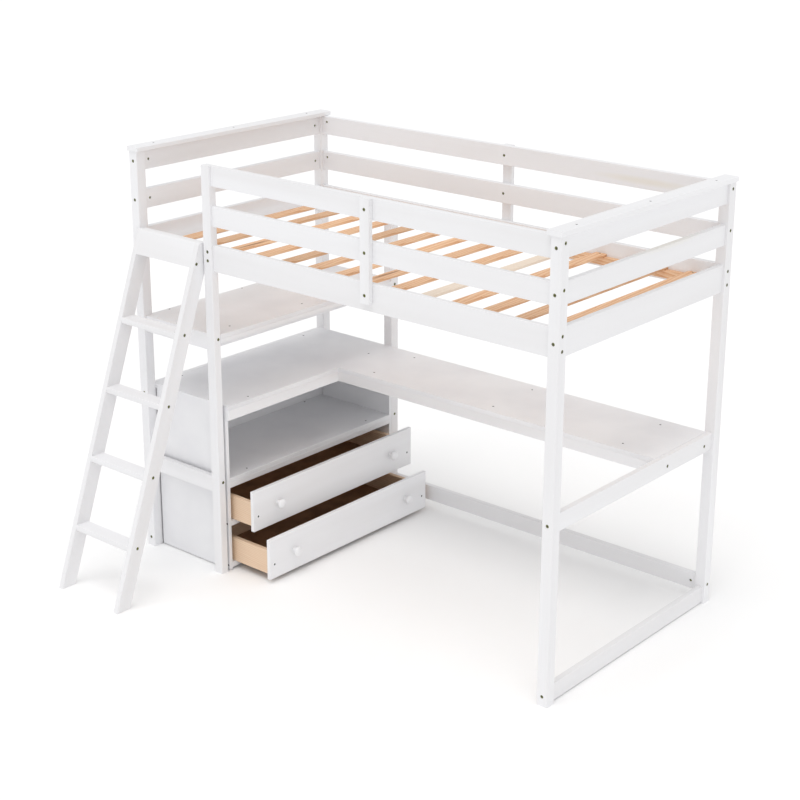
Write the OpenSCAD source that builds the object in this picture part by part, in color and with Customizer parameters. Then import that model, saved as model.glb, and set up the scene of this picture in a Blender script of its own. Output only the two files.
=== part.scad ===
// Loft bed with an L-shaped desk, two drawers, an open cabinet shelf, an upper
// shelf and a leaning ladder. Millimetres, +Z up, +X from the ladder end to the
// desk end, +Y from the front to the back. The origin is on the floor, under
// the centre of the whole bounding box. Every part is first laid out from the
// outer corner of the front left post, and place() moves it to that origin.

/* [Bed frame] */
// Length of the frame over the outer faces of the posts
bed_l = 2000; // [1700:1:2500]
// Width of the frame over the outer faces of the posts
bed_w = 1050; // [850:1:1300]
// Height of the posts, up to the underside of the end caps
post_h = 1622; // [1500:1:2000]
// Side of a square post
post_s = 42; // [38:1:60]
// Thickness of every planed rail and guard
rail_t = 22; // [18:1:26]
// Radius of the eased edges of the planed timber
ease_r = 2; // [0.5:0.1:3]
// Height of the bed rails' lower edges above the floor
bed_rail_z = 1225; // [1100:1:1300]
// Depth of the bed rails, top to bottom
bed_rail_h = 100; // [90:1:125]
// Depth of a guard rail, top to bottom
guard_h = 76; // [50:1:82]
// Open height between the two guard rails
guard_gap = 74; // [40:1:90]

/* [End caps] */
// Width of the cap that lies on each end of the frame
cap_w = 60; // [52:1:80]
// Thickness of an end cap
cap_t = 18; // [12:1:25]
// Overhang of a cap past the outer faces of the posts
cap_over = 5; // [0:1:6]

/* [Stiles and inner legs] */
// Distance from the frame's left end to the inner legs
leg_x = 394; // [360:1:440]
// Thickness of the flat stiles bolted outside the rails
stile_t = 20; // [15:1:25]
// Distance from the left end to the middle stile on the front
front_stile_x = 1178; // [900:1:1500]
// Distance from the left end to the middle stile on the back
back_stile_x = 981; // [800:1:1400]
// Height of the middle stiles' lower ends above the bed rails' lower edge
stile_lift = 30; // [5:1:40]

/* [Slats] */
// Number of slats
slat_n = 14; // [10:1:20]
// Width of a slat
slat_w = 48; // [40:1:70]
// Thickness of a slat
slat_t = 10; // [8:1:18]
// Distance from the bed rails' lower edge up to the top of the slats
slat_top = 53; // [45:1:60]
// Height of the ledgers that carry the slats
ledger_h = 30; // [20:1:32]
// Distance from a post's outer face to the near end of a ledger
ledger_inset = 90; // [80:1:110]

/* [Upper shelf] */
// Height of the upper shelf's top above the floor
shelf_z = 977; // [850:1:1050]
// Thickness of the shelf and desk boards
board_t = 18; // [15:1:25]
// Depth of the shelf, desk and foot rails, top to bottom
rail_h = 65; // [50:1:80]
// Distance that the upper shelf stands out past the inner legs
shelf_out = 2; // [0:1:20]
// Depth of the band under the front edge of the upper shelf
shelf_band_h = 17; // [12:1:40]

/* [Desk] */
// Height of the desk's top above the floor
desk_z = 690; // [650:1:760]
// Distance that the desk's wing stands out past the inner legs
wing_out = 18; // [18:1:40]
// Depth of the long desk board, front to back
desk_d = 350; // [300:1:450]
// Depth of the bearers and bands under the desk boards
desk_band_h = 40; // [30:1:45]

/* [Cabinet] */
// Thickness of the cabinet's side panels
side_t = 15; // [12:1:22]
// Thickness of the cabinet's back panel
back_t = 6; // [4:1:9]
// Slit between the left posts and the side panels' back edges
side_slit = 5; // [2:1:8]
// Height of the cabinet shelf's top above the floor
cabinet_shelf_z = 386; // [380:1:440]
// Depth of the band under the front edge of the cabinet shelf
cabinet_band_h = 22; // [15:1:40]
// Distance from the cabinet shelf's top down to the mid rails' lower edges
cabinet_rail_drop = 53; // [45:1:60]
// Gap between the floor and the lowest rails and panels
floor_gap = 4; // [2:1:10]
// Height of the back foot rail's lower edge above the floor
back_foot_z = 42; // [20:1:80]

/* [Drawers] */
// Height of a drawer front
front_h = 165; // [150:1:170]
// Thickness of a drawer front
front_t = 16; // [12:1:20]
// Gap between a drawer front and the side panels, on each side
front_gap = 2.5; // [1:0.5:5]
// Gap between the two drawer fronts
front_split = 12; // [4:1:20]
// Height of the lower front's bottom edge above the floor
front_z = 18; // [12:1:40]
// Height of a drawer box
box_h = 98; // [80:1:110]
// Depth of a drawer box behind its front, front to back
box_d = 350; // [280:1:365]
// Thickness of a drawer box's sides
box_side_t = 18; // [12:1:20]
// Thickness of a drawer box's back
box_back_t = 12; // [9:1:15]
// Thickness of a drawer bottom
box_bottom_t = 5; // [3:0.5:8]
// Gap between a drawer box and the side panels, on each side
box_gap = 16; // [12:1:20]
// Distance from a front's bottom edge up to its drawer box
box_lift = 14; // [8:1:30]
// Running gap between a drawer box and its runners, and behind the drawer rails
run_gap = 0.5; // [0.3:0.1:1]
// Gap behind a drawer front when the drawer is shut
shut_gap = 1; // [0.5:0.5:3]
// Distance that the upper drawer stands open
upper_open = 107; // [0:1:260]
// Distance that the lower drawer stands open
lower_open = 190; // [0:1:260]
// Diameter of a knob
knob_d = 38; // [24:1:40]
// Projection of a knob
knob_out = 32; // [18:1:35]
// Distance between the two knobs of a drawer
knob_span = 666; // [300:1:700]

/* [Ladder] */
// Lean of the ladder from the vertical, in degrees
ladder_lean = 19.65; // [12:0.05:25]
// Width of a ladder stile across its sloping face
ladder_stile_w = 60; // [50:1:80]
// Thickness of the ladder's stiles and treads
ladder_t = 22; // [18:1:28]
// Gap between the ladder and the post and leg beside it
ladder_gap = 5; // [2:1:15]
// Height of the ladder's top above the bed rail's top
ladder_above = 5; // [0:1:40]
// Height of the lowest tread's centre above the floor
tread_z = 228; // [200:1:300]
// Height from one tread's centre to the next
tread_pitch = 256; // [200:1:256]
// Number of treads
tread_n = 4; // [3:1:4]
// Depth of a tread, front to back
tread_d = 60; // [50:1:60]

/* [Fasteners] */
// Diameter of a bolt's shank
bolt_d = 6; // [5:0.5:7]
// Diameter of a bolt's head
bolt_head_d = 12; // [10:0.5:14]
// Radial clearance round every bolt, nut and screw
hole_gap = 0.3; // [0.2:0.05:0.5]
// Diameter of a barrel nut
nut_d = 10; // [9:0.5:11]
// Distance from a rail's end to its barrel nut
nut_in = 25; // [20:1:35]
// Diameter of a wood screw's head
screw_head_d = 8; // [6:0.5:9]

/* [Hidden] */
$fn = 40;

paint = "white";
board_paint = "whitesmoke";
pine = "burlywood";
box_wood = "tan";

// Rails stand back from the outer faces of the posts by the same amount all round.
recess = (post_s - rail_t) / 2;
rail_mid = post_s / 2;
far_x = bed_l - post_s;
far_y = bed_w - post_s;
inner_lo = recess + rail_t;
inner_hi_x = bed_l - inner_lo;
inner_hi_y = bed_w - inner_lo;

// Levels of the rails, as [bottom, top].
top_guard = [post_h - guard_h, post_h];
mid_guard = [top_guard[0] - guard_gap - guard_h, top_guard[0] - guard_gap];
bed_rail = [bed_rail_z, bed_rail_z + bed_rail_h];
shelf_rail = [shelf_z - rail_h, shelf_z];
desk_rail = [desk_z - rail_h, desk_z];
foot_rail = [floor_gap, floor_gap + rail_h];
back_foot_rail = [back_foot_z, back_foot_z + rail_h];
cabinet_rail_z = cabinet_shelf_z - cabinet_rail_drop;
cabinet_rail = [cabinet_rail_z, cabinet_rail_z + rail_h];

// The middle stiles stand out past the front and back rails.
front_out = recess - stile_t;
back_out = bed_w - recess + stile_t;
leg_end = leg_x + post_s;

// Desk and cabinet, from left to right and from front to back.
wing_end = leg_end + wing_out;
desk_y = far_y - desk_d;
desk_under = desk_z - board_t;
desk_band_z = desk_under - desk_band_h;
side_x = post_s + side_slit;
side_in_lo = post_s + side_t;
side_in_hi = far_y - side_t;
back_x = inner_lo + back_t;
cab_under = cabinet_shelf_z - board_t;
shelf_under = shelf_z - board_t;

// Slats, spread evenly between the middles of the first one and the last one.
slat_z = bed_rail_z + slat_top;
slat_under = slat_z - slat_t;
slat_first = 129;
slat_pitch = (bed_l - 2 * slat_first) / (slat_n - 1);

// Drawers: where a front's back face stands when it is shut, and its two levels.
shut_x = leg_end + shut_gap;
lower_z = front_z;
upper_z = front_z + front_h + front_split;
box_lo = side_in_lo + box_gap;
box_hi = side_in_hi - box_gap;
runner_w = box_gap + box_side_t - 3;
runner_h = 22;
runner_end = leg_end - board_t;
runner_tops = [for (z = [lower_z, upper_z]) z + box_lift - run_gap];
front_lo = side_in_lo + front_gap;
front_hi = side_in_hi - front_gap;
bottom_lift = 8;
groove_d = 6;
front_screw_drop = 24;
front_screw_l = 40;

// Ladder: its back edge meets the bed rail's outer face at the rail's lower
// edge, and above that it is cut upright to lie flat on the rail.
ladder_half = ladder_stile_w / (2 * cos(ladder_lean));
ladder_top = bed_rail[1] + ladder_above;
ladder_lo = post_s + ladder_gap;
ladder_hi = leg_x - ladder_gap;
top_board_rise = 16;
top_board_z = bed_rail_z + top_board_rise;
function ladder_y(z) = recess - ladder_half + (z - bed_rail_z) * tan(ladder_lean);
tread_zs = [for (i = [0 : tread_n - 1]) tread_z + i * tread_pitch];
top_bolt_rise = 13;
top_bolt_z = top_board_z + top_bolt_rise;
top_board_half = ladder_t / (2 * cos(ladder_lean));

// The bounding box runs from the ladder's feet to the back stile.
ladder_foot = ladder_y(0) - ladder_half;
y_mid = (ladder_foot + back_out) / 2;

// Fastener details.
head_h = 4;
head_sink = 1;
socket_af = 5;
tail = 8;
nut_skin = 3;
thread_gap = 0.05;
bolt_rise = 15;
bed_bolt_rise = 25;
screw_d = 4;
screw_head_h = 3;
dowel_d = 8;
dowel_l = 50;
stile_bolt_rise = 7;
stile_bolt_half = 17;
mid_stile_bolt_rise = 10;
bearer_in = 50;

// Distances from the ends of a board or a cap to its nearest screws.
cap_screw_in = 105;
shelf_screw_in = 130;
wing_screw_in = 175;
band_screw_in = 235;
desk_screw_left = 151;
desk_screw_right = 168;
runner_screw_in = 60;

// Lengths of the wood screws.
cap_screw_l = 45;
board_screw_l = 38;
shelf_screw_l = 34;
slat_screw_l = 28;
ladder_screw_l = 42;
panel_screw_l = 45;

// A bolt is [head point, direction, thickness it passes, nut's direction].
// The nut's direction points out of the side that its hole is drilled from,
// and a zero there stands for a sleeve nut on the bolt's own axis.
end_zs = [mid(top_guard), mid(mid_guard), mid(bed_rail), mid(desk_rail), mid(foot_rail)];
end_bolts = [for (x = [rail_mid, bed_l - rail_mid], z = end_zs, s = [0, 1])
    [[x, s * bed_w, z], [0, 1 - 2 * s, 0], post_s, [x < bed_l / 2 ? 1 : -1, 0, 0]]];
bed_zs = [mid(bed_rail) - bed_bolt_rise, mid(bed_rail) + bed_bolt_rise];
guard_zs = [mid(top_guard) + bolt_rise, mid(mid_guard) + bolt_rise];
long_bolts = concat(
    [for (z = concat(bed_zs, guard_zs)) x_bolt(bed_l, -1, rail_mid, z, 1)],
    [for (z = bed_zs) x_bolt(0, 1, rail_mid, z, 1)],
    [for (z = guard_zs) x_bolt(leg_x, 1, rail_mid, z, 1)],
    [for (z = concat(bed_zs, guard_zs)) x_bolt(0, 1, bed_w - rail_mid, z, -1)],
    [for (z = concat(bed_zs, guard_zs, [mid(back_foot_rail)]))
        x_bolt(bed_l, -1, bed_w - rail_mid, z, -1)],
    [x_bolt(leg_x, 1, bed_w - rail_mid, mid(back_foot_rail), -1)]);
bay_zs = [mid(shelf_rail) + bolt_rise, mid(cabinet_rail) + bolt_rise];
bay_bolts = [for (z = bay_zs, s = [0, 1], x = [0, leg_end])
    x_bolt(x, x == 0 ? 1 : -1, s == 0 ? rail_mid : bed_w - rail_mid, z, 1 - 2 * s)];
desk_bearer_ys = [desk_y + bearer_in, far_y - bearer_in];
desk_bolts = [for (y = desk_bearer_ys)
    [[bed_l - recess, y, desk_band_z + desk_band_h / 2], [-1, 0, 0], rail_t, [0, -1, 0]]];
stile_zs = [mid(top_guard), mid(mid_guard), mid(bed_rail) + mid_stile_bolt_rise];
low_stile_z = mid(bed_rail) + stile_bolt_rise;
stile_bolts = concat(
    [for (z = [low_stile_z - stile_bolt_half, low_stile_z + stile_bolt_half])
        [[leg_x + post_s / 2, 0, z], [0, 1, 0], recess, 0]],
    [for (z = stile_zs) [[front_stile_x + post_s / 2, front_out, z], [0, 1, 0], stile_t, 0]],
    [for (z = stile_zs) [[back_stile_x + post_s / 2, back_out, z], [0, -1, 0], stile_t, 0]]);
tread_bolts = [for (z = tread_zs, s = [0, 1])
    [[s == 0 ? ladder_lo : ladder_hi, ladder_y(z), z], [1 - 2 * s, 0, 0], ladder_t, [0, 0, -1]]];
top_board_y = ladder_y(top_bolt_z) - ladder_half + top_board_half;
ladder_bolts = concat(tread_bolts, [for (s = [0, 1])
    [[s == 0 ? ladder_lo : ladder_hi, top_board_y, top_bolt_z], [1 - 2 * s, 0, 0], ladder_t,
        [0, 0, -1]]]);
BOLTS = concat(end_bolts, long_bolts, bay_bolts, desk_bolts, stile_bolts, ladder_bolts);

// A screw is [head point, direction, length].
down = [0, 0, -1];
cap_screws = [for (x = [rail_mid, bed_l - rail_mid], y = ends(cap_screw_in))
    [[x, y, post_h + cap_t], down, cap_screw_l]];
shelf_screws = [for (x = shelf_bearer_xs(), y = ends(shelf_screw_in))
    [[x + rail_t / 2, y, shelf_z], down, board_screw_l]];
wing_screws = [for (x = [back_x + rail_t / 2, leg_end - rail_t / 2],
        y = [wing_screw_in, bed_w - wing_screw_in]) [[x, y, desk_z], down, board_screw_l]];
band_screws = [for (y = ends(band_screw_in))
    [[leg_end - rail_t, y, desk_band_z + desk_band_h / 2], [1, 0, 0], shelf_screw_l]];
desk_screw_xs = [wing_end + desk_screw_left, (wing_end + inner_hi_x) / 2,
    inner_hi_x - desk_screw_right];
long_screws = [for (x = desk_screw_xs, y = desk_bearer_ys)
    [[x, y, desk_z], down, board_screw_l]];
cabinet_screws = [for (x = [back_x + rail_t / 2, leg_end - board_t - rail_t / 2],
        y = [wing_screw_in, bed_w - wing_screw_in])
    [[x, y, cabinet_shelf_z], down, shelf_screw_l]];
slat_screws = [for (i = [0 : slat_n - 1], y = [inner_lo + rail_t / 2, inner_hi_y - rail_t / 2])
    [[slat_first + i * slat_pitch, y, slat_z], down, slat_screw_l]];
ladder_screws = [for (x = [ladder_lo + ladder_t / 2, ladder_hi - ladder_t / 2])
    [[x, inner_lo, mid(bed_rail)], [0, -1, 0], ladder_screw_l]];
runner_screws = [for (top = runner_tops, s = [0, 1],
        x = [side_x + runner_screw_in, runner_end - runner_screw_in])
    [[x, s == 0 ? side_in_lo + runner_w : side_in_hi - runner_w, top - runner_h / 2],
        [0, 2 * s - 1, 0], ladder_screw_l]];
drawer_rail_screws = [for (top = runner_tops, s = [0, 1])
    [[leg_end - board_t / 2, s == 0 ? post_s : far_y, top - runner_h / 2],
        [0, 1 - 2 * s, 0], panel_screw_l]];
SCREWS = concat(cap_screws, shelf_screws, wing_screws, band_screws, long_screws, cabinet_screws,
                slat_screws, ladder_screws, runner_screws, drawer_rail_screws);

function mid(level) = (level[0] + level[1]) / 2;
function ends(in) = [in, bed_w / 2, bed_w - in];
function x_bolt(x, way, y, z, in) = [[x, y, z], [way, 0, 0], post_s, [0, in, 0]];
function shelf_bearer_xs() = [inner_lo, leg_x - rail_t];
function bolt_end(b) = b[0] + b[1] * (b[3] == 0 ? b[2] + rail_t - 4 : b[2] + nut_in + tail);
function nut_at(b) = b[0] + b[1] * (b[2] + nut_in);
// True where the line from p to q runs through the box from lo to hi.
function crosses(p, q, lo, hi) = len([for (k = [0 : 2])
    if (min(p[k], q[k]) < hi[k] - 0.01 && max(p[k], q[k]) > lo[k] + 0.01) 1]) == 3;

// Lays a part, drawn from the front left post's corner, about the origin.
module place() translate([-bed_l / 2, -y_mid, 0]) children();

// Turns +Z towards a direction.
module towards(u) rotate([0, acos(u[2]), atan2(u[1], u[0])]) children();

module eased_rect(w, h, r) {
    translate([r, 0]) square([w - 2 * r, h]);
    translate([0, r]) square([w, h - 2 * r]);
    for (x = [r, w - r], y = [r, h - r]) translate([x, y]) circle(r);
}

// A planed bar from corner lo to corner hi, whose grain runs along one axis.
module bar(lo, hi, axis, r = ease_r) {
    s = hi - lo;
    if (axis == "x")
        translate(lo) rotate([90, 0, 90]) linear_extrude(s[0]) eased_rect(s[1], s[2], r);
    if (axis == "y")
        translate([lo[0], hi[1], lo[2]]) rotate([90, 0, 0])
            linear_extrude(s[1]) eased_rect(s[0], s[2], r);
    if (axis == "z")
        translate(lo) linear_extrude(s[2]) eased_rect(s[0], s[1], r);
}

// A bolt's clearance hole, its counterbore and the hole for its barrel nut.
module bolt_hole(b) {
    deep = norm(bolt_end(b) - b[0]) + 2;
    translate(b[0]) towards(b[1]) {
        translate([0, 0, -1]) cylinder(d = bolt_d + 2 * hole_gap, h = deep + 1);
        translate([0, 0, -1]) cylinder(d = bolt_head_d + 2 * hole_gap, h = head_h + head_sink + 1);
    }
    if (b[3] != 0)
        translate(nut_at(b) + b[3] * (rail_t / 2 + 1)) towards(-b[3])
            cylinder(d = nut_d + 2 * hole_gap, h = rail_t - nut_skin + 1);
    else
        translate(b[0] + b[1] * (b[2] + 5)) towards(b[1])
            cylinder(d = nut_d + 2 * hole_gap, h = rail_t);
}

module screw_hole(s) {
    translate(s[0]) towards(s[1]) {
        translate([0, 0, -1]) cylinder(d = screw_d + 2 * hole_gap, h = s[2] + 2);
        cylinder(d1 = screw_head_d + 2 * hole_gap, d2 = screw_d + 2 * hole_gap, h = screw_head_h);
        translate([0, 0, -1]) cylinder(d = screw_head_d + 2 * hole_gap, h = 1.01);
    }
}

// Takes out of a part, which fills the box from lo to hi, every hole that meets it.
module drilled(lo, hi) difference() {
    children();
    for (b = BOLTS) if (crosses(b[0] - b[1], bolt_end(b), lo, hi)) bolt_hole(b);
    for (s = SCREWS) if (crosses(s[0] - s[1], s[0] + s[1] * s[2], lo, hi)) screw_hole(s);
}

module timber(lo, hi, axis, r = ease_r) drilled(lo, hi) bar(lo, hi, axis, r);

// A rail across an end of the frame, between the posts.
module end_rail(x, level) timber([x, post_s, level[0]], [x + rail_t, far_y, level[1]], "y");

// A rail along the frame from x0 to x1, in the front plane or the back plane.
module long_rail(y, x0, x1, level) timber([x0, y, level[0]], [x1, y + rail_t, level[1]], "x");

module post(x, y) color(paint) place() timber([x, y, 0], [x + post_s, y + post_s, post_h], "z");

left_x = recess;
right_x = bed_l - recess - rail_t;
front_y = recess;
back_y = bed_w - recess - rail_t;

// A dowel upright through the joint of an inner leg and its bed rail.
module dowel(y, gap = 0) translate([leg_x + post_s / 2, y, bed_rail_z - dowel_l / 2 - gap])
    cylinder(d = dowel_d + 2 * gap, h = dowel_l + 2 * gap);

module inner_leg(y0, y1, dowel_y) color(paint) place() difference() {
    timber([leg_x, y0, 0], [leg_end, y1, bed_rail_z], "z");
    dowel(dowel_y, hole_gap);
}

module bed_long_rail(y) color(paint) place() difference() {
    long_rail(y, post_s, far_x, bed_rail);
    dowel(y + rail_t / 2, hole_gap);
}

module stile(x, y, z0) color(paint) place()
    timber([x, y, z0], [x + post_s, y + stile_t, post_h], "z");

// The stile beside the way in: it stands on the front bed rail, and its foot is
// notched to lap over the rail's outer face.
module lapped_stile() color(paint) place() difference() {
    timber([leg_x, 0, bed_rail_z], [leg_end, inner_lo, post_h], "z");
    translate([leg_x - 1, front_y, bed_rail_z - 1])
        cube([post_s + 2, rail_t + 1, bed_rail_h + 1]);
}

module end_cap(x) color(paint) place()
    timber([x, -cap_over, post_h], [x + cap_w, bed_w + cap_over, post_h + cap_t], "y", 3);

module slat_ledgers() color(pine) place() {
    for (y = [inner_lo, inner_hi_y - rail_t])
        timber([ledger_inset, y, slat_under - ledger_h],
               [bed_l - ledger_inset, y + rail_t, slat_under], "x");
}

module slats() color(pine) place() {
    for (i = [0 : slat_n - 1]) {
        x = slat_first + i * slat_pitch - slat_w / 2;
        timber([x, inner_lo + 1, slat_under], [x + slat_w, inner_hi_y - 1, slat_z], "y");
    }
}

module shelf_board() color(board_paint) place() {
    lo = [inner_lo, inner_lo, shelf_under];
    hi = [leg_end + shelf_out, inner_hi_y, shelf_z];
    difference() {
        timber(lo, hi, "y", 1.5);
        for (y = [-1, far_y]) translate([-1, y, shelf_under - 1])
            cube([post_s + 1, post_s + 1, board_t + 2]);
        translate([leg_x, far_y, shelf_under - 1])
            cube([post_s + shelf_out + 1, post_s, board_t + 2]);
    }
}

module shelf_rails() color(paint) place() {
    for (y = [front_y, back_y]) long_rail(y, post_s, leg_x, shelf_rail);
}

module shelf_bearers() color(paint) place() {
    xs = shelf_bearer_xs();
    timber([xs[0], post_s, shelf_rail[0]], [xs[0] + rail_t, far_y, shelf_under], "y");
    timber([xs[1], inner_lo, shelf_rail[0]], [xs[1] + rail_t, inner_hi_y, shelf_under], "y");
}

module shelf_apron() color(paint) place() {
    x = leg_end + shelf_out - board_t;
    timber([x, inner_lo, shelf_under - shelf_band_h], [x + board_t, far_y, shelf_under], "y", 1.5);
}

module desk_top_wing() color(board_paint) place()
    timber([inner_lo, post_s, desk_under], [wing_end, far_y, desk_z], "y", 1.5);

module desk_top_long() color(board_paint) place()
    timber([wing_end, desk_y, desk_under], [inner_hi_x, far_y, desk_z], "x", 1.5);

module desk_apron_wing() color(paint) place()
    timber([leg_end, post_s, desk_band_z], [leg_end + board_t, far_y, desk_under], "y", 1.5);

module desk_apron_front() color(paint) place()
    timber([leg_end + board_t, desk_y, desk_band_z], [inner_hi_x, desk_y + board_t, desk_under],
           "x", 1.5);

module desk_bearers() color(paint) place() {
    for (x = [back_x, leg_end - rail_t])
        timber([x, side_in_lo, desk_band_z], [x + rail_t, side_in_hi, desk_under], "y");
    for (y = desk_bearer_ys)
        timber([leg_end + board_t, y - rail_t / 2, desk_band_z],
               [inner_hi_x, y + rail_t / 2, desk_under], "x");
}

module cabinet_side(y) color(board_paint) place()
    timber([side_x, y, floor_gap], [leg_end, y + side_t, desk_under], "z", 1);

module cabinet_back_panel() color(board_paint) place()
    timber([inner_lo, post_s, floor_gap], [back_x, far_y, desk_under], "z", 0.5);

module cabinet_shelf() color(board_paint) place()
    timber([back_x, side_in_lo, cab_under], [leg_end, side_in_hi, cabinet_shelf_z], "y", 1.5);

module cabinet_shelf_apron() color(paint) place()
    timber([leg_end - board_t, side_in_lo, cab_under - cabinet_band_h],
           [leg_end, side_in_hi, cab_under], "y", 1.5);

module cabinet_shelf_bearers() color(paint) place() {
    for (x = [back_x, leg_end - board_t - rail_t])
        timber([x, side_in_lo, cab_under - cabinet_band_h], [x + rail_t, side_in_hi, cab_under], "y");
}

module cabinet_rails() color(paint) place() {
    for (y = [front_y, back_y]) long_rail(y, post_s, leg_x, cabinet_rail);
}

// Under each drawer box, a runner on each side and a rail across the front.
module drawer_runners() color(paint) place() {
    for (top = runner_tops) {
        for (y = [side_in_lo, side_in_hi - runner_w])
            timber([side_x, y, top - runner_h], [runner_end - run_gap, y + runner_w, top], "x", 1);
        timber([runner_end, side_in_lo, top - runner_h], [leg_end, side_in_hi, top], "y", 1);
    }
}

// Draws a drawer's part where the drawer stands open by the given distance:
// x = 0 is then the back face of its front, and z = 0 its front's bottom edge.
module drawer(open, z) place() translate([shut_x + open, 0, z]) children();

box_mid = (box_lo + box_hi) / 2;
front_screw_ys = [box_lo + box_side_t / 2 + 2, box_hi - box_side_t / 2 - 2];
knob_ys = [box_mid - knob_span / 2, box_mid + knob_span / 2];
front_mid = front_h / 2;
knob_neck = 14;
knob_screw_d = 4;
knob_grip = 14;

module drawer_front() color(paint) difference() {
    bar([0, front_lo, 0], [front_t, front_hi, front_h], "y", 1.5);
    for (y = front_screw_ys)
        translate([front_t + 1, y, front_mid - front_screw_drop]) rotate([0, -90, 0]) {
            cylinder(d = screw_d + 2 * hole_gap, h = front_t + 2);
            cylinder(d = screw_head_d + 2 * hole_gap, h = 1 + screw_head_h);
        }
    for (y = knob_ys) translate([-1, y, front_mid]) rotate([0, 90, 0])
        cylinder(d = knob_screw_d + 2 * hole_gap, h = front_t + 2);
}

module drawer_box() color(box_wood) {
    for (s = [0, 1]) {
        y = s == 0 ? box_lo : box_hi - box_side_t;
        groove_y = s == 0 ? box_lo + box_side_t - groove_d : box_hi - box_side_t;
        difference() {
            bar([-box_d, y, box_lift], [0, y + box_side_t, box_lift + box_h], "x", 1);
            translate([-box_d - 1, groove_y - (s == 0 ? 0 : 1), box_lift + bottom_lift])
                cube([box_d + 2, groove_d + 1, box_bottom_t]);
            translate([1, front_screw_ys[s], front_mid - front_screw_drop]) rotate([0, -90, 0])
                cylinder(d = screw_d + 2 * hole_gap, h = front_screw_l);
        }
    }
    bar([-box_d, box_lo + box_side_t, box_lift + bottom_lift + box_bottom_t],
        [-box_d + box_back_t, box_hi - box_side_t, box_lift + box_h], "y", 1);
}

module drawer_bottom() color(box_wood)
    translate([-box_d, box_lo + box_side_t - groove_d, box_lift + bottom_lift])
        cube([box_d, box_hi - box_lo - 2 * (box_side_t - groove_d), box_bottom_t]);

// A turned knob: a flared foot, a waist and a domed head, on the front's face.
module drawer_knobs() color(paint) {
    r = knob_d / 2;
    dome = 5;
    for (y = knob_ys) translate([front_t, y, front_mid]) rotate([0, 90, 0]) difference() {
        rotate_extrude() {
            square([knob_neck / 2, knob_out - dome]);
            square([knob_neck / 2 + 2, 2]);
            translate([0, knob_out - dome - 6]) square([r - 3, dome + 6]);
            translate([0, knob_out - dome - 3]) square([r, 5]);
            translate([r - 3, knob_out - dome - 3]) circle(3);
            translate([r - 3, knob_out - 3]) circle(3);
        }
        translate([0, 0, -1]) cylinder(d = knob_screw_d + 2 * thread_gap, h = knob_grip + 1);
    }
}

module drawer_screws() color("dimgray") {
    for (y = front_screw_ys)
        translate([front_t - 0.5, y, front_mid - front_screw_drop]) rotate([0, -90, 0])
            screw_body(front_screw_l);
    for (y = knob_ys) translate([-2.5, y, front_mid]) rotate([0, 90, 0]) {
        cylinder(d = knob_screw_d, h = 2.5 + front_t + knob_grip - 1);
        cylinder(d = 9, h = 2.5);
    }
}

// A wood screw, head first: a flat head with a cross recess and a plain shank.
module screw_body(l) difference() {
    union() {
        cylinder(d1 = screw_head_d, d2 = screw_d, h = screw_head_h);
        cylinder(d = screw_d, h = l - 4);
        translate([0, 0, l - 4]) cylinder(d1 = screw_d, d2 = 0.6, h = 4);
    }
    for (a = [0, 90]) rotate(a) translate([-screw_head_d / 4, -0.5, -1])
        cube([screw_head_d / 2, 1, 2.5]);
}

// A ladder stile, cut level at the floor and upright against the bed rail.
module ladder_side(x) color(paint) place() {
    lo = [x, ladder_foot, 0];
    hi = [x + ladder_t, recess, ladder_top];
    drilled(lo, hi) translate([x, 0, 0]) rotate([90, 0, 90]) linear_extrude(ladder_t) polygon([
        [ladder_y(0) - ladder_half, 0], [ladder_y(0) + ladder_half, 0],
        [recess, bed_rail_z], [recess, ladder_top - 6], [recess - 6, ladder_top],
        [ladder_y(ladder_top) - ladder_half + 6, ladder_top],
        [ladder_y(ladder_top - 6) - ladder_half, ladder_top - 6]]);
}

tread_lo = ladder_lo + ladder_t;
tread_hi = ladder_hi - ladder_t;

module ladder_treads() color(paint) place() {
    for (z = tread_zs)
        timber([tread_lo, ladder_y(z) - tread_d / 2, z - ladder_t / 2],
               [tread_hi, ladder_y(z) + tread_d / 2, z + ladder_t / 2], "x", 3);
}

// The board across the ladder's top, flush with the stiles' sloping front edges.
module ladder_top_board() color(paint) place() {
    t = 2 * top_board_half;
    y0 = ladder_y(top_board_z) - ladder_half;
    y1 = ladder_y(ladder_top) - ladder_half;
    drilled([tread_lo, y0, top_board_z], [tread_hi, y1 + t, ladder_top])
        translate([tread_lo, 0, 0]) rotate([90, 0, 90]) linear_extrude(tread_hi - tread_lo)
            polygon([[y0, top_board_z], [y0 + t, top_board_z], [y1 + t, ladder_top],
                     [y1 + 5, ladder_top], [y1 - 1.8, ladder_top - 5]]);
}

module bolts() color("gray") place() {
    for (b = BOLTS) {
        l = norm(bolt_end(b) - b[0]);
        translate(b[0] + b[1] * head_sink) towards(b[1]) difference() {
            union() {
                cylinder(d = bolt_head_d, h = head_h);
                cylinder(d = bolt_d, h = l - head_sink);
            }
            translate([0, 0, -1]) cylinder(d = socket_af / cos(30), h = 4, $fn = 6);
        }
    }
}

// Barrel nuts across the rails and sleeve nuts behind the stiles.
module nuts() color("silver") place() {
    for (b = BOLTS) {
        if (b[3] != 0) difference() {
            translate(nut_at(b) + b[3] * (rail_t / 2 - nut_skin)) towards(-b[3])
                cylinder(d = nut_d, h = rail_t - 2 * nut_skin);
            translate(b[0]) towards(b[1])
                cylinder(d = bolt_d + 2 * thread_gap, h = b[2] + nut_in + 20);
        }
        else difference() {
            translate(b[0] + b[1] * (b[2] + 6)) towards(b[1]) cylinder(d = nut_d, h = rail_t - 6);
            translate(b[0]) towards(b[1])
                cylinder(d = bolt_d + 2 * thread_gap, h = b[2] + rail_t + 1);
        }
    }
}

module screws() color("dimgray") place() {
    for (s = SCREWS) translate(s[0] + s[1] * 0.3) towards(s[1]) screw_body(s[2] - 1);
}

module dowels() color(pine) place() {
    for (y = [rail_mid, bed_w - rail_mid]) dowel(y);
}

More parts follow.
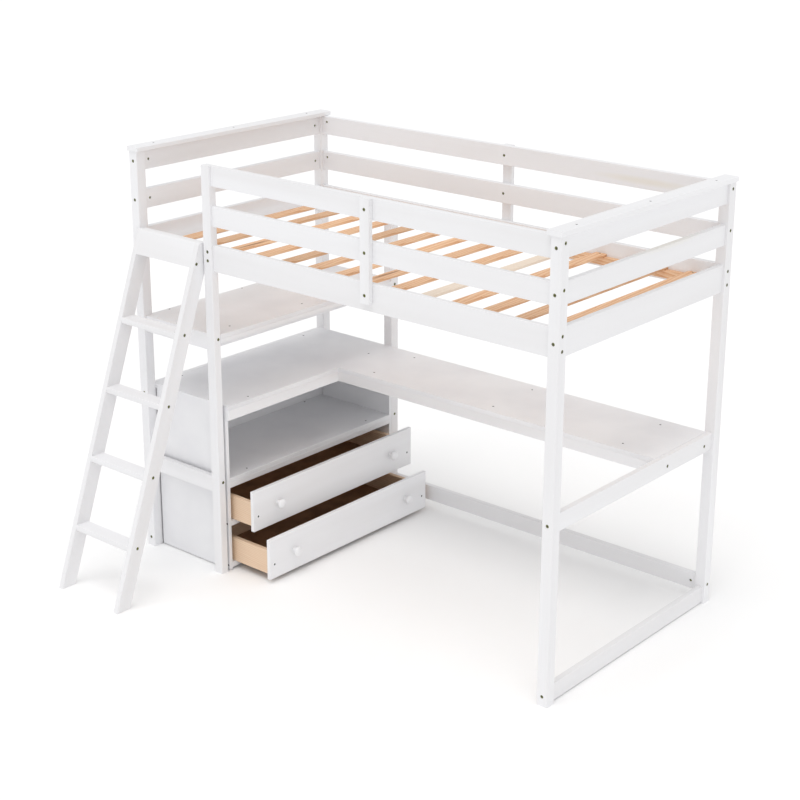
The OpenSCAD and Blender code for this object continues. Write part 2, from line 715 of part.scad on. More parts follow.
post(0, 0);  // post_front_left
post(far_x, 0);  // post_front_right
post(0, far_y);  // post_back_left
post(far_x, far_y);  // post_back_right
inner_leg(0, inner_lo, rail_mid);  // leg_front_inner
inner_leg(far_y, bed_w, bed_w - rail_mid);  // leg_back_inner
lapped_stile();  // stile_front_left
stile(front_stile_x, front_out, bed_rail_z + stile_lift);  // stile_front_middle
stile(back_stile_x, back_out - stile_t, bed_rail_z + stile_lift);  // stile_back_middle
color(paint) place() long_rail(front_y, leg_end, far_x, top_guard);  // guard_front_top
color(paint) place() long_rail(front_y, leg_end, far_x, mid_guard);  // guard_front_middle
bed_long_rail(front_y);  // bed_rail_front
color(paint) place() for (g = [top_guard, mid_guard]) long_rail(back_y, post_s, far_x, g);  // guards_back
bed_long_rail(back_y);  // bed_rail_back
color(paint) place() for (g = [top_guard, mid_guard]) end_rail(left_x, g);  // guards_left
color(paint) place() end_rail(left_x, bed_rail);  // bed_rail_left
color(paint) place() for (g = [top_guard, mid_guard]) end_rail(right_x, g);  // guards_right
color(paint) place() end_rail(right_x, bed_rail);  // bed_rail_right
end_cap(-cap_over);  // cap_left
end_cap(bed_l + cap_over - cap_w);  // cap_right
color(paint) place() for (x = [left_x, right_x]) end_rail(x, desk_rail);  // desk_rails
color(paint) place() for (x = [left_x, right_x]) end_rail(x, foot_rail);  // foot_rails_ends
color(paint) place() long_rail(back_y, leg_end, far_x, back_foot_rail);  // foot_rail_back
slat_ledgers();
slats();
shelf_board();
shelf_rails();
shelf_bearers();
shelf_apron();
desk_top_wing();
desk_top_long();
desk_apron_wing();
desk_apron_front();
desk_bearers();
cabinet_side(post_s);  // cabinet_side_front
cabinet_side(far_y - side_t);  // cabinet_side_back
cabinet_back_panel();
cabinet_shelf();
cabinet_shelf_apron();
cabinet_shelf_bearers();
cabinet_rails();
drawer_runners();
drawer(upper_open, upper_z) drawer_front();  // drawer_upper_front
drawer(upper_open, upper_z) drawer_box();  // drawer_upper_box
drawer(upper_open, upper_z) drawer_bottom();  // drawer_upper_bottom
drawer(upper_open, upper_z) drawer_knobs();  // drawer_upper_knobs
drawer(upper_open, upper_z) drawer_screws();  // drawer_upper_screws
drawer(lower_open, lower_z) drawer_front();  // drawer_lower_front
drawer(lower_open, lower_z) drawer_box();  // drawer_lower_box
drawer(lower_open, lower_z) drawer_bottom();  // drawer_lower_bottom
drawer(lower_open, lower_z) drawer_knobs();  // drawer_lower_knobs
drawer(lower_open, lower_z) drawer_screws();  // drawer_lower_screws
ladder_side(ladder_lo);  // ladder_stile_left
ladder_side(ladder_hi - ladder_t);  // ladder_stile_right
ladder_treads();
ladder_top_board();
bolts();
nuts();
screws();
dowels();
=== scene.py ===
import math

import bmesh
import bpy
from bpy.props import FloatProperty, FloatVectorProperty, PointerProperty
from mathutils import Matrix, Vector


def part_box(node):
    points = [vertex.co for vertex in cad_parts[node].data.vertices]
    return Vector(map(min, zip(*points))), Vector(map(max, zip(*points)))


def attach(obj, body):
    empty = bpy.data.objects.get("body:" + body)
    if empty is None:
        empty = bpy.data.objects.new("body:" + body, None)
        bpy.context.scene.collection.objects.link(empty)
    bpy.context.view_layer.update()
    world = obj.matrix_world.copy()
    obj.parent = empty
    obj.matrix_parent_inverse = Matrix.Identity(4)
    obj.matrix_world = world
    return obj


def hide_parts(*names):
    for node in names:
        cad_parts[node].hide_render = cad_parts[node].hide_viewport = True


bl_info = {
    "name": "Loft bed with desk",
    "version": (1, 0, 0),
    "blender": (4, 5, 0),
    "location": "3D View > Sidebar > Loft bed",
    "description": "Paints and finishes a loft bed with a desk and drawers",
    "category": "Object",
}

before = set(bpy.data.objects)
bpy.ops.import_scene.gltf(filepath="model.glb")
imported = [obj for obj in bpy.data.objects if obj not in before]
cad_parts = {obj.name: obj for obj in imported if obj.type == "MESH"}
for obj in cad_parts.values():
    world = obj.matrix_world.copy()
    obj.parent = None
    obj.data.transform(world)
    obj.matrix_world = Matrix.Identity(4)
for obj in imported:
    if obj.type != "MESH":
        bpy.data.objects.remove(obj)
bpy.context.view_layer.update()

MM = 0.001


def srgb(code):
    """The linear colour of an sRGB hex value such as "#F2F1EE"."""
    parts = [int(code[i : i + 2], 16) / 255 for i in (1, 3, 5)]
    return tuple(c / 12.92 if c <= 0.04045 else ((c + 0.055) / 1.055) ** 2.4 for c in parts)


def colour(label, code, text):
    """A colour setting with an sRGB hex value as its default."""
    return FloatVectorProperty(
        name=label, description=text, default=srgb(code), size=3, subtype="COLOR", min=0, max=1
    )


def length(label, millimetres, text):
    """A length setting, given in millimetres."""
    return FloatProperty(
        name=label, description=text, default=millimetres * MM, unit="LENGTH", subtype="DISTANCE"
    )


# ---------------------------------------------------------------- settings


class PaintSettings(bpy.types.PropertyGroup):
    """White paint on the timber frame and on the boards."""

    timber: colour("Timber paint", "#F0F0F2", "Satin white on the planed pine")
    timber_shade: colour("Timber paint, thin", "#E8E7E8", "The same paint where it lies thin")
    knot: colour("Knot stain", "#E6E0D2", "Resin of a knot showing faintly through the paint")
    board: colour("Board paint", "#EEEEF0", "Satin white on the fibreboard")
    board_shade: colour("Board paint, thin", "#E6E6E9", "The same paint where it lies thin")
    ring: length("Growth ring", 5, "Spacing of the growth rings that print through the paint")
    stipple: length("Stipple", 1.6, "Size of the spray's orange peel")


class TimberSettings(bpy.types.PropertyGroup):
    """Bare pine, drawer sides and hardboard."""

    early: colour("Early wood", "#E8C29E", "Pale band of each growth ring in the slats")
    late: colour("Late wood", "#D39E74", "Dark band of each growth ring in the slats")
    # Painted highlight: a near-white colour for the one slat that bright light falls on; that slat's
    # wood is no paler than the others.
    slat_highlight: colour("Pale slat", "#EFE6D8", "The one slat cut from paler wood")
    knot: colour("Knot", "#8B5A34", "A knot in the bare pine")
    box: colour("Drawer side", "#EFD5BA", "Pale band of the drawer sides' wood")
    box_late: colour("Drawer side, dark", "#DFBC9B", "Dark band of the drawer sides' wood")
    hardboard: colour("Hardboard", "#B58A68", "Pressed fibre of the drawer bottoms")
    fibre: colour("Hardboard fibre", "#946C4D", "Darker fibres in the hardboard")
    ring: length("Growth ring", 7, "Spacing of the growth rings in the slats")


class MetalSettings(bpy.types.PropertyGroup):
    """Bolts, nuts and screws."""

    zinc: colour("Passivated zinc", "#77766A", "Zinc plating with a yellow passivate")
    zinc_tint: colour("Passivate tint", "#858A4A", "Greenish patches of the passivate")
    phosphate: colour("Phosphate", "#3A3A3C", "Dark phosphate coat of the wood screws")
    worn: colour("Phosphate, worn", "#6B6B6E", "The coat where a driver has rubbed it")


class StudioSettings(bpy.types.PropertyGroup):
    """Camera, lights and floor."""

    paper: colour("Paper", "#FFFFFF", "The seamless paper that the bed stands on")
    ambient: FloatProperty(name="Ambient", description="Strength of the white room", default=0.76)
    key: FloatProperty(name="Key", description="Strength of the main light", default=0.95)
    fill: FloatProperty(name="Fill", description="Strength of the light from the right", default=0.18)
    spread: FloatProperty(name="Key spread", description="Size of the main light in the sky",
                          default=math.radians(40), subtype="ANGLE")
    lens: FloatProperty(name="Lens", description="Focal length in millimetres", default=74.84)


# ---------------------------------------------------------------- shared tools


def add(tree, kind, links=None, stops=None, **settings):
    """Adds a shader node: settings are its attributes, links its inputs, as values or sockets."""
    made = tree.nodes.new("ShaderNode" + kind)
    for name, value in settings.items():
        setattr(made, name, value)
    for place, value in (links or {}).items():
        if isinstance(value, bpy.types.NodeSocket):
            tree.links.new(value, made.inputs[place])
        else:
            made.inputs[place].default_value = value
    if stops:
        ramp = made.color_ramp
        while len(ramp.elements) < len(stops):
            ramp.elements.new(0.5)
        for element, (at, value) in zip(ramp.elements, stops):
            element.position = at
            element.color = (*value, 1) if isinstance(value, tuple) else (value, value, value, 1)
    return made


def new_material(name):
    """An empty node material with its Principled shader, as (material, tree, shader)."""
    material = bpy.data.materials.new(name)
    material.use_nodes = True
    tree = material.node_tree
    return material, tree, tree.nodes["Principled BSDF"]


def dress(material, *nodes):
    """Gives CAD nodes a material through their own material slots."""
    for name in nodes:
        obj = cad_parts[name]
        if not obj.material_slots:
            obj.data.materials.append(material)
        for slot in obj.material_slots:
            slot.material = material


# The grain is drawn out along the timber: a pattern's scale along each axis.
DRAWN_OUT = 1 / 14
ALONG = {"x": (DRAWN_OUT, 1, 1), "y": (1, DRAWN_OUT, 1), "z": (1, 1, DRAWN_OUT)}

# How fine each pattern is, as features to the metre.
PAINT_CLOUDS = 9
PAINT_KNOTS = 5.5
BOARD_CLOUDS = 4
BOARD_WAVES = 45
RING_WARP = 6
PORES = 900
PINE_KNOTS = 11
HARDBOARD_CLOUDS = 12
ZINC_PATCHES = 160
ZINC_GRIT = 1500
PHOSPHATE_PATCHES = 300
PAPER_TOOTH = 400

# Growth rings of the drawer sides and fibre flecks of their hardboard bottoms.
BOX_RING = 4 * MM
FLECK = 2 * MM

LADDER_LEAN = math.radians(19.65)

# The slats: how wide one is, how many there are, and which one, counted from
# zero at the ladder end, carries a painted highlight where bright light falls on it.
SLAT_W = 48 * MM
SLAT_COUNT = 14
HIGHLIGHT_SLAT = 9

GRAIN = {
    "z": ["post_front_left", "post_front_right", "post_back_left", "post_back_right",
          "leg_front_inner", "leg_back_inner", "stile_front_left", "stile_front_middle",
          "stile_back_middle"],
    "x": ["guard_front_top", "guard_front_middle", "bed_rail_front", "guards_back",
          "bed_rail_back", "foot_rail_back", "shelf_rails", "cabinet_rails", "desk_apron_front",
          "desk_bearers", "ladder_treads", "ladder_top_board", "drawer_runners"],
    "y": ["guards_left", "bed_rail_left", "guards_right", "bed_rail_right", "cap_left",
          "cap_right", "desk_rails", "foot_rails_ends", "shelf_bearers",
          "shelf_apron", "desk_apron_wing", "cabinet_shelf_apron", "cabinet_shelf_bearers",
          "drawer_upper_front", "drawer_lower_front"],
}
BOARDS = ["shelf_board", "desk_top_wing", "desk_top_long", "cabinet_side_front",
          "cabinet_side_back", "cabinet_back_panel", "cabinet_shelf"]


def grain_place(tree, along, lean=0.0):
    """Object coordinates, turned to the timber's lean and drawn out along its grain."""
    where = add(tree, "TexCoord").outputs["Object"]
    if lean:
        where = add(tree, "VectorRotate", {"Vector": where, "Angle": lean},
                    rotation_type="X_AXIS").outputs["Vector"]
    return add(tree, "Mapping", {"Vector": where, "Scale": along}).outputs["Vector"]


# Pine under satin acrylic: planed, filled and sprayed, then rubbed down. The
# eye sees a white that is a little uneven, growth rings that print through as
# a low relief, and now and then a knot that stains the paint a shade warmer.
def satin_painted_pine(name, paint, along, lean=0.0):
    material, tree, shader = new_material(name)
    drawn = grain_place(tree, along, lean)
    flat = add(tree, "TexCoord").outputs["Object"]
    rings = add(tree, "TexNoise", {"Vector": drawn, "Scale": 1 / paint.ring, "Detail": 5,
                                   "Roughness": 0.55, "Distortion": 0.6}).outputs["Fac"]
    peel = add(tree, "TexNoise", {"Vector": flat, "Scale": 1 / paint.stipple,
                                  "Detail": 1}).outputs["Fac"]
    cloud = add(tree, "TexNoise", {"Vector": drawn, "Scale": PAINT_CLOUDS,
                                   "Detail": 2}).outputs["Fac"]
    thin = add(tree, "ValToRGB", {"Fac": cloud},
               stops=[(0.35, tuple(paint.timber)), (0.75, tuple(paint.timber_shade))])
    streak = add(tree, "ValToRGB", {"Fac": rings}, stops=[(0.56, 0.0), (0.78, 0.35)])
    coat = add(tree, "Mix", {"Factor": streak.outputs["Color"], "A": thin.outputs["Color"],
                             "B": (*paint.timber_shade, 1)}, data_type="RGBA")
    knots = add(tree, "TexVoronoi", {"Vector": drawn, "Scale": PAINT_KNOTS})
    ring = add(tree, "ValToRGB", {"Fac": knots.outputs["Distance"]},
               stops=[(0.03, 0.55), (0.1, 0.0)])
    stained = add(tree, "Mix", {"Factor": ring.outputs["Color"], "A": coat.outputs[2],
                                "B": (*paint.knot, 1)}, data_type="RGBA")
    tree.links.new(stained.outputs[2], shader.inputs["Base Color"])
    gloss = add(tree, "MapRange", {"Value": cloud, "From Min": 0.3, "From Max": 0.7,
                                   "To Min": 0.34, "To Max": 0.47})
    tree.links.new(gloss.outputs["Result"], shader.inputs["Roughness"])
    relief = add(tree, "Bump", {"Height": rings, "Strength": 0.35, "Distance": 0.25 * MM})
    skin = add(tree, "Bump", {"Height": peel, "Strength": 0.25, "Distance": 0.06 * MM,
                              "Normal": relief.outputs["Normal"]})
    tree.links.new(skin.outputs["Normal"], shader.inputs["Normal"])
    return material


# Fibreboard under satin acrylic: sprayed on a sanded sheet with no grain. The
# eye sees an even cool white, a fine orange peel and slow changes of gloss.
def satin_painted_fibreboard(name, paint):
    material, tree, shader = new_material(name)
    flat = add(tree, "TexCoord").outputs["Object"]
    cloud = add(tree, "TexNoise", {"Vector": flat, "Scale": BOARD_CLOUDS,
                                   "Detail": 3}).outputs["Fac"]
    peel = add(tree, "TexNoise", {"Vector": flat, "Scale": 1 / paint.stipple,
                                  "Detail": 2}).outputs["Fac"]
    wave = add(tree, "TexNoise", {"Vector": flat, "Scale": BOARD_WAVES,
                                  "Detail": 1}).outputs["Fac"]
    coat = add(tree, "ValToRGB", {"Fac": cloud},
               stops=[(0.4, tuple(paint.board)), (0.7, tuple(paint.board_shade))])
    tree.links.new(coat.outputs["Color"], shader.inputs["Base Color"])
    gloss = add(tree, "MapRange", {"Value": cloud, "From Min": 0.3, "From Max": 0.7,
                                   "To Min": 0.3, "To Max": 0.4})
    tree.links.new(gloss.outputs["Result"], shader.inputs["Roughness"])
    sag = add(tree, "Bump", {"Height": wave, "Strength": 0.2, "Distance": 0.3 * MM})
    skin = add(tree, "Bump", {"Height": peel, "Strength": 0.3, "Distance": 0.05 * MM,
                              "Normal": sag.outputs["Normal"]})
    tree.links.new(skin.outputs["Normal"], shader.inputs["Normal"])
    return material


def grain_bands(tree, where, ring, warp):
    """Growth rings as drawn-out noise bands, with fine pores, as (bands, pores)."""
    warped = add(tree, "TexNoise", {"Vector": where, "Scale": RING_WARP, "Detail": 2})
    moved = add(tree, "MixRGB", {"Fac": warp, "Color1": where,
                                 "Color2": warped.outputs["Color"]})
    bands = add(tree, "TexWave", {"Vector": moved.outputs["Color"], "Scale": 0.32 / ring,
                                  "Distortion": 2.2, "Detail": 2.5, "Detail Scale": 1.4},
                wave_type="BANDS", bands_direction="DIAGONAL", wave_profile="SAW")
    pores = add(tree, "TexNoise", {"Vector": where, "Scale": PORES, "Detail": 2})
    return bands.outputs["Fac"], pores.outputs["Fac"]


# Bare pine, planed and left unfinished: honey-coloured late wood between cream
# early wood, a few brown knots, a soft sheen along the grain. No two slats are
# alike, so each one shifts the pattern and its shade by its place in the row.
# One slat is also lightened towards near-white as a painted highlight, where bright light falls on
# it.
def planed_pine(name, wood, along, rows=None):
    material, tree, shader = new_material(name)
    drawn = grain_place(tree, along)
    shade = 0.5
    if rows:
        first, pitch = rows
        across = add(tree, "SeparateXYZ", {"Vector": add(tree, "TexCoord").outputs["Object"]})
        step = add(tree, "MapRange", {"Value": across.outputs["X"], "From Min": first,
                                      "From Max": first + pitch, "To Min": 0, "To Max": 1},
                   clamp=False)
        index = add(tree, "Math", {0: step.outputs["Result"]}, operation="ROUND")
        pick = add(tree, "TexWhiteNoise", {"W": index.outputs[0]}, noise_dimensions="1D")
        shade = pick.outputs["Value"]
        shift = add(tree, "VectorMath", {0: drawn, 1: pick.outputs["Color"]}, operation="ADD")
        drawn = shift.outputs["Vector"]
    bands, pores = grain_bands(tree, drawn, wood.ring, 0.05)
    rings = add(tree, "ValToRGB", {"Fac": bands}, stops=[(0.15, tuple(wood.early)),
                                                         (0.95, tuple(wood.late))])
    lighter = add(tree, "HueSaturation", {"Color": rings.outputs["Color"], "Saturation": 1.02})
    level = add(tree, "MapRange", {"Value": shade, "To Min": 0.88, "To Max": 1.12})
    tree.links.new(level.outputs["Result"], lighter.inputs["Value"])
    surface = lighter.outputs["Color"]
    if rows:
        # Painted highlight: the one slat picked by its index is mixed three quarters of the way to
        # the near-white slat colour, standing in for bright light falling on it.
        highlight_mask = add(tree, "Math", {0: index.outputs[0], 1: HIGHLIGHT_SLAT, 2: 0.5}, operation="COMPARE")
        highlight_strength = add(tree, "Math", {0: highlight_mask.outputs[0], 1: 0.75}, operation="MULTIPLY")
        slat_highlight = add(tree, "Mix", {"Factor": highlight_strength.outputs[0], "A": surface,
                                 "B": (*wood.slat_highlight, 1)}, data_type="RGBA")
        surface = slat_highlight.outputs[2]
    knots = add(tree, "TexVoronoi", {"Vector": drawn, "Scale": PINE_KNOTS})
    ring = add(tree, "ValToRGB", {"Fac": knots.outputs["Distance"]},
               stops=[(0.035, 0.85), (0.075, 0.25), (0.14, 0.0)])
    knotty = add(tree, "Mix", {"Factor": ring.outputs["Color"], "A": surface,
                               "B": (*wood.knot, 1)}, data_type="RGBA")
    tree.links.new(knotty.outputs[2], shader.inputs["Base Color"])
    gloss = add(tree, "MapRange", {"Value": bands, "To Min": 0.62, "To Max": 0.5})
    tree.links.new(gloss.outputs["Result"], shader.inputs["Roughness"])
    relief = add(tree, "Bump", {"Height": bands, "Strength": 0.3, "Distance": 0.2 * MM})
    skin = add(tree, "Bump", {"Height": pores, "Strength": 0.3, "Distance": 0.1 * MM,
                              "Normal": relief.outputs["Normal"]})
    tree.links.new(skin.outputs["Normal"], shader.inputs["Normal"])
    return material


# Sanded softwood for the drawer sides: closer rings than the slats and a
# warmer tan, with the rings running from front to back.
def sanded_softwood(name, wood, along):
    material, tree, shader = new_material(name)
    drawn = grain_place(tree, along)
    bands, pores = grain_bands(tree, drawn, BOX_RING, 0.03)
    rings = add(tree, "ValToRGB", {"Fac": bands}, stops=[(0.2, tuple(wood.box)),
                                                         (1.0, tuple(wood.box_late))])
    tree.links.new(rings.outputs["Color"], shader.inputs["Base Color"])
    gloss = add(tree, "MapRange", {"Value": pores, "To Min": 0.5, "To Max": 0.68})
    tree.links.new(gloss.outputs["Result"], shader.inputs["Roughness"])
    relief = add(tree, "Bump", {"Height": bands, "Strength": 0.2, "Distance": 0.15 * MM})
    skin = add(tree, "Bump", {"Height": pores, "Strength": 0.3, "Distance": 0.08 * MM,
                              "Normal": relief.outputs["Normal"]})
    tree.links.new(skin.outputs["Normal"], shader.inputs["Normal"])
    return material


# Hardboard: wood fibre pressed wet against a smooth plate. The eye sees brown
# flecks with no direction and a dull gloss. Real flecks are finer than the 2 mm
# that they are drawn at, which is the least that shows across the whole bed.
def pressed_hardboard(name, wood):
    material, tree, shader = new_material(name)
    flat = add(tree, "TexCoord").outputs["Object"]
    flecks = add(tree, "TexNoise", {"Vector": flat, "Scale": 1 / FLECK, "Detail": 4,
                                    "Roughness": 0.7}).outputs["Fac"]
    cloud = add(tree, "TexNoise", {"Vector": flat, "Scale": HARDBOARD_CLOUDS,
                                   "Detail": 2}).outputs["Fac"]
    both = add(tree, "Math", {0: flecks, 1: cloud}, operation="MULTIPLY")
    fibre = add(tree, "ValToRGB", {"Fac": both.outputs[0]},
                stops=[(0.16, tuple(wood.fibre)), (0.36, tuple(wood.hardboard))])
    tree.links.new(fibre.outputs["Color"], shader.inputs["Base Color"])
    gloss = add(tree, "MapRange", {"Value": flecks, "To Min": 0.42, "To Max": 0.6})
    tree.links.new(gloss.outputs["Result"], shader.inputs["Roughness"])
    skin = add(tree, "Bump", {"Height": flecks, "Strength": 0.4, "Distance": 0.08 * MM})
    tree.links.new(skin.outputs["Normal"], shader.inputs["Normal"])
    return material


# Zinc plate with a yellow passivate: barrel-plated, so the tint wanders from
# straw to green over a few millimetres and the gloss is broken up.
def passivated_zinc(name, metal):
    material, tree, shader = new_material(name)
    flat = add(tree, "TexCoord").outputs["Object"]
    patch = add(tree, "TexNoise", {"Vector": flat, "Scale": ZINC_PATCHES,
                                   "Detail": 3}).outputs["Fac"]
    tint = add(tree, "ValToRGB", {"Fac": patch}, stops=[(0.35, tuple(metal.zinc)),
                                                        (0.65, tuple(metal.zinc_tint))])
    tree.links.new(tint.outputs["Color"], shader.inputs["Base Color"])
    shader.inputs["Metallic"].default_value = 1.0
    gloss = add(tree, "MapRange", {"Value": patch, "To Min": 0.28, "To Max": 0.45})
    tree.links.new(gloss.outputs["Result"], shader.inputs["Roughness"])
    grit = add(tree, "TexNoise", {"Vector": flat, "Scale": ZINC_GRIT, "Detail": 1})
    skin = add(tree, "Bump", {"Height": grit.outputs["Fac"], "Strength": 0.2,
                              "Distance": 0.03 * MM})
    tree.links.new(skin.outputs["Normal"], shader.inputs["Normal"])
    return material


# Phosphated steel: a dark crystalline coat that is nearly matt, worn brighter
# in spots where the driver has touched it.
def phosphated_steel(name, metal):
    material, tree, shader = new_material(name)
    flat = add(tree, "TexCoord").outputs["Object"]
    patch = add(tree, "TexNoise", {"Vector": flat, "Scale": PHOSPHATE_PATCHES,
                                   "Detail": 3}).outputs["Fac"]
    coat = add(tree, "ValToRGB", {"Fac": patch},
               stops=[(0.45, tuple(metal.phosphate)), (0.8, tuple(metal.worn))])
    tree.links.new(coat.outputs["Color"], shader.inputs["Base Color"])
    shader.inputs["Metallic"].default_value = 1.0
    gloss = add(tree, "MapRange", {"Value": patch, "To Min": 0.55, "To Max": 0.4})
    tree.links.new(gloss.outputs["Result"], shader.inputs["Roughness"])
    return material


def seamless_paper(name, studio):
    """Matt background paper with a faint tooth."""
    material, tree, shader = new_material(name)
    flat = add(tree, "TexCoord").outputs["Object"]
    tooth = add(tree, "TexNoise", {"Vector": flat, "Scale": PAPER_TOOTH, "Detail": 2})
    skin = add(tree, "Bump", {"Height": tooth.outputs["Fac"], "Strength": 0.1,
                              "Distance": 0.05 * MM})
    tree.links.new(skin.outputs["Normal"], shader.inputs["Normal"])
    shader.inputs["Base Color"].default_value = (*studio.paper, 1)
    shader.inputs["Roughness"].default_value = 0.9
    shader.inputs["Specular IOR Level"].default_value = 0.1
    return material


# ---------------------------------------------------------------- pieces


# The camera: where it stands, its yaw, pitch and roll in degrees, the lens shift
# as shares of the picture's width, and the width of its sensor in millimetres.
CAMERA_AT = Vector((3.8234, -4.3193, 2.8722))
CAMERA_TURN = (39.92, -18.26, 0.36)
LENS_SHIFT = (-0.0274, -0.0603)
SENSOR_WIDTH = 36
CLIP_END = 200


class BED_OT_camera(bpy.types.Operator):
    """Place the camera in front of the right end, a little above the bed"""

    bl_idname = "bed.camera"
    bl_label = "Camera"

    def execute(self, context):
        data = bpy.data.cameras.new("camera")
        data.lens = context.scene.bed_studio.lens
        data.sensor_width = SENSOR_WIDTH
        data.shift_x, data.shift_y = LENS_SHIFT
        data.clip_end = CLIP_END
        camera = bpy.data.objects.new("camera", data)
        context.scene.collection.objects.link(camera)
        yaw, pitch, roll = (math.radians(angle) for angle in CAMERA_TURN)
        camera.matrix_world = (
            Matrix.Translation(CAMERA_AT)
            @ Matrix.Rotation(yaw, 4, "Z")
            @ Matrix.Rotation(math.pi / 2 + pitch, 4, "X")
            @ Matrix.Rotation(roll, 4, "Z")
        )
        context.scene.camera = camera
        return {"FINISHED"}


# Where the lights stand, seen from the bed: the main one high and a little to
# the front, and a weak one low at the right end, which reaches into the cabinet.
KEY_FROM = Vector((0.05, -0.3, 0.95))
FILL_FROM = Vector((0.85, -0.45, 0.3))

# Half the side of the floor, in metres.
FLOOR_REACH = 60


class BED_OT_studio(bpy.types.Operator):
    """Lay the white paper floor and set the soft lights"""

    bl_idname = "bed.studio"
    bl_label = "Floor and lights"

    def execute(self, context):
        studio = context.scene.bed_studio
        mesh = bpy.data.meshes.new("floor")
        made = bmesh.new()
        bmesh.ops.create_grid(made, x_segments=8, y_segments=8, size=FLOOR_REACH)
        made.to_mesh(mesh)
        made.free()
        floor = bpy.data.objects.new("floor", mesh)
        context.scene.collection.objects.link(floor)
        mesh.materials.append(seamless_paper("seamless paper", studio))
        world = bpy.data.worlds.new("white room")
        world.use_nodes = True
        room = world.node_tree.nodes["Background"]
        room.inputs["Color"].default_value = (1, 1, 1, 1)
        room.inputs["Strength"].default_value = studio.ambient
        context.scene.world = world
        lights = (("key", KEY_FROM, studio.key), ("fill", FILL_FROM, studio.fill))
        for name, towards, strength in lights:
            data = bpy.data.lights.new(name, "SUN")
            data.energy = strength
            data.angle = studio.spread
            light = bpy.data.objects.new(name, data)
            light.rotation_euler = towards.to_track_quat("Z", "Y").to_euler()
            context.scene.collection.objects.link(light)
        context.scene.view_settings.view_transform = "Standard"
        return {"FINISHED"}


class BED_OT_painted_timber(bpy.types.Operator):
    """Paint the posts, rails, guards, aprons, fronts and ladder white"""

    bl_idname = "bed.painted_timber"
    bl_label = "Painted timber"

    def execute(self, context):
        paint = context.scene.bed_paint
        for way, names in GRAIN.items():
            dress(satin_painted_pine("satin painted pine, grain " + way, paint, ALONG[way]),
                  *names)
        leaning = satin_painted_pine("satin painted pine, leaning", paint, ALONG["z"],
                                     LADDER_LEAN)
        dress(leaning, "ladder_stile_left", "ladder_stile_right")
        return {"FINISHED"}


class BED_OT_painted_boards(bpy.types.Operator):
    """Paint the shelf, desk and cabinet boards white"""

    bl_idname = "bed.painted_boards"
    bl_label = "Painted boards"

    def execute(self, context):
        dress(satin_painted_fibreboard("satin painted fibreboard", context.scene.bed_paint),
              *BOARDS)
        return {"FINISHED"}


class BED_OT_slats(bpy.types.Operator):
    """Finish the slats and their ledgers in bare pine"""

    bl_idname = "bed.slats"
    bl_label = "Slats"

    def execute(self, context):
        wood = context.scene.bed_timber
        low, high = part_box("slats")
        first = low.x + SLAT_W / 2
        pitch = (high.x - low.x - SLAT_W) / (SLAT_COUNT - 1)
        dress(planed_pine("planed pine, slats", wood, ALONG["y"], (first, pitch)), "slats")
        dress(planed_pine("planed pine, ledgers", wood, ALONG["x"]), "slat_ledgers")
        dress(planed_pine("planed pine, dowels", wood, ALONG["z"]), "dowels")
        return {"FINISHED"}


class BED_OT_drawer_boxes(bpy.types.Operator):
    """Finish the drawer boxes in sanded softwood and hardboard"""

    bl_idname = "bed.drawer_boxes"
    bl_label = "Drawer boxes"

    def execute(self, context):
        wood = context.scene.bed_timber
        dress(sanded_softwood("sanded softwood", wood, ALONG["x"]),
              "drawer_upper_box", "drawer_lower_box")
        dress(pressed_hardboard("pressed hardboard", wood),
              "drawer_upper_bottom", "drawer_lower_bottom")
        return {"FINISHED"}


class BED_OT_fasteners(bpy.types.Operator):
    """Finish the bolts and nuts in passivated zinc and the screws in phosphate"""

    bl_idname = "bed.fasteners"
    bl_label = "Fasteners"

    def execute(self, context):
        metal = context.scene.bed_metal
        dress(passivated_zinc("passivated zinc", metal), "bolts", "nuts")
        dress(phosphated_steel("phosphated steel", metal), "screws",
              "drawer_upper_screws", "drawer_lower_screws")
        return {"FINISHED"}


# A knob's outline from its foot to its crown, as fractions of its radius and
# of its projection.
KNOB_OUTLINE = [(0.0, 0.0), (0.62, 0.0), (0.64, 0.04), (0.6, 0.1), (0.5, 0.17), (0.46, 0.26),
                (0.48, 0.35), (0.6, 0.43), (0.82, 0.5), (0.95, 0.57), (1.0, 0.66), (0.98, 0.76),
                (0.9, 0.86), (0.74, 0.93), (0.5, 0.975), (0.25, 0.995), (0.0, 1.0)]
KNOB_STEPS = 40
WELD = 0.02 * MM


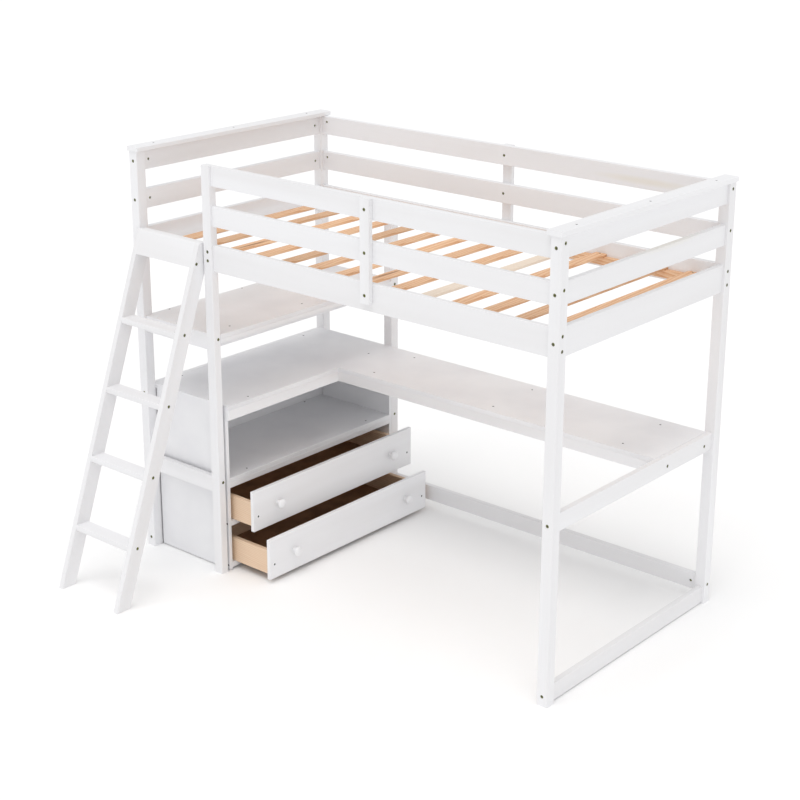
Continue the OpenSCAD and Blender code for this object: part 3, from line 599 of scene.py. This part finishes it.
class BED_OT_knobs(bpy.types.Operator):
    """Turn the four knobs, in white satin like the fronts"""

    bl_idname = "bed.knobs"
    bl_label = "Knobs"

    def execute(self, context):
        coat = satin_painted_pine("satin painted knob", context.scene.bed_paint, ALONG["x"])
        for level in ("upper", "lower"):
            node = "drawer_%s_knobs" % level
            low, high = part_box(node)
            radius, reach = (high.z - low.z) / 2, high.x - low.x
            mesh = bpy.data.meshes.new("knobs_" + level)
            made = bmesh.new()
            for y in (low.y + radius, high.y - radius):
                self.turn(made, radius, reach, Vector((low.x, y, (low.z + high.z) / 2)))
            made.to_mesh(mesh)
            made.free()
            mesh.polygons.foreach_set("use_smooth", [True] * len(mesh.polygons))
            mesh.materials.append(coat)
            knobs = bpy.data.objects.new("knobs_" + level, mesh)
            context.scene.collection.objects.link(knobs)
            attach(knobs, "drawer_" + level)
            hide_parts(node)
        return {"FINISHED"}

    def turn(self, made, radius, reach, centre):
        """Spins the outline about +X at a centre on the front's face."""
        points = [made.verts.new((reach * h, 0, radius * r)) for r, h in KNOB_OUTLINE]
        edges = [made.edges.new(pair) for pair in zip(points, points[1:])]
        bmesh.ops.spin(made, geom=points + edges, axis=(1, 0, 0), cent=(0, 0, 0),
                       dvec=(0, 0, 0), angle=2 * math.pi, steps=KNOB_STEPS, use_merge=True)
        # The vertices of a knob that is already in place carry a tag.
        fresh = [vert for vert in made.verts if not vert.tag]
        bmesh.ops.remove_doubles(made, verts=fresh, dist=WELD)
        fresh = [vert for vert in made.verts if not vert.tag]
        bmesh.ops.recalc_face_normals(made, faces=made.faces[:])
        bmesh.ops.translate(made, verts=fresh, vec=centre)
        for vert in fresh:
            vert.tag = True


# ---------------------------------------------------------------- add-on


class BED_PT_panel(bpy.types.Panel):
    """Lists the bed's settings and the steps that finish it"""

    bl_idname = "BED_PT_panel"
    bl_label = "Loft bed"
    bl_space_type = "VIEW_3D"
    bl_region_type = "UI"
    bl_category = "Loft bed"

    def draw(self, context):
        for step in STEPS:
            self.layout.operator(step.bl_idname)
        for name in GROUPS:
            settings = getattr(context.scene, name)
            column = self.layout.column(align=True)
            for prop in settings.bl_rna.properties:
                if prop.identifier not in ("rna_type", "name"):
                    column.prop(settings, prop.identifier)


GROUPS = {"bed_paint": PaintSettings, "bed_timber": TimberSettings,
          "bed_metal": MetalSettings, "bed_studio": StudioSettings}
STEPS = (BED_OT_camera, BED_OT_studio, BED_OT_painted_timber, BED_OT_painted_boards,
         BED_OT_slats, BED_OT_drawer_boxes, BED_OT_fasteners, BED_OT_knobs)


def register():
    for name, group in GROUPS.items():
        bpy.utils.register_class(group)
        setattr(bpy.types.Scene, name, PointerProperty(type=group))
    for step in STEPS + (BED_PT_panel,):
        bpy.utils.register_class(step)


def unregister():
    for step in (BED_PT_panel,) + STEPS[::-1]:
        bpy.utils.unregister_class(step)
    for name, group in GROUPS.items():
        delattr(bpy.types.Scene, name)
        bpy.utils.unregister_class(group)


def main():
    register()
    for step in STEPS:
        area, name = step.bl_idname.split(".")
        getattr(getattr(bpy.ops, area), name)()


if __name__ == "__main__":
    main()
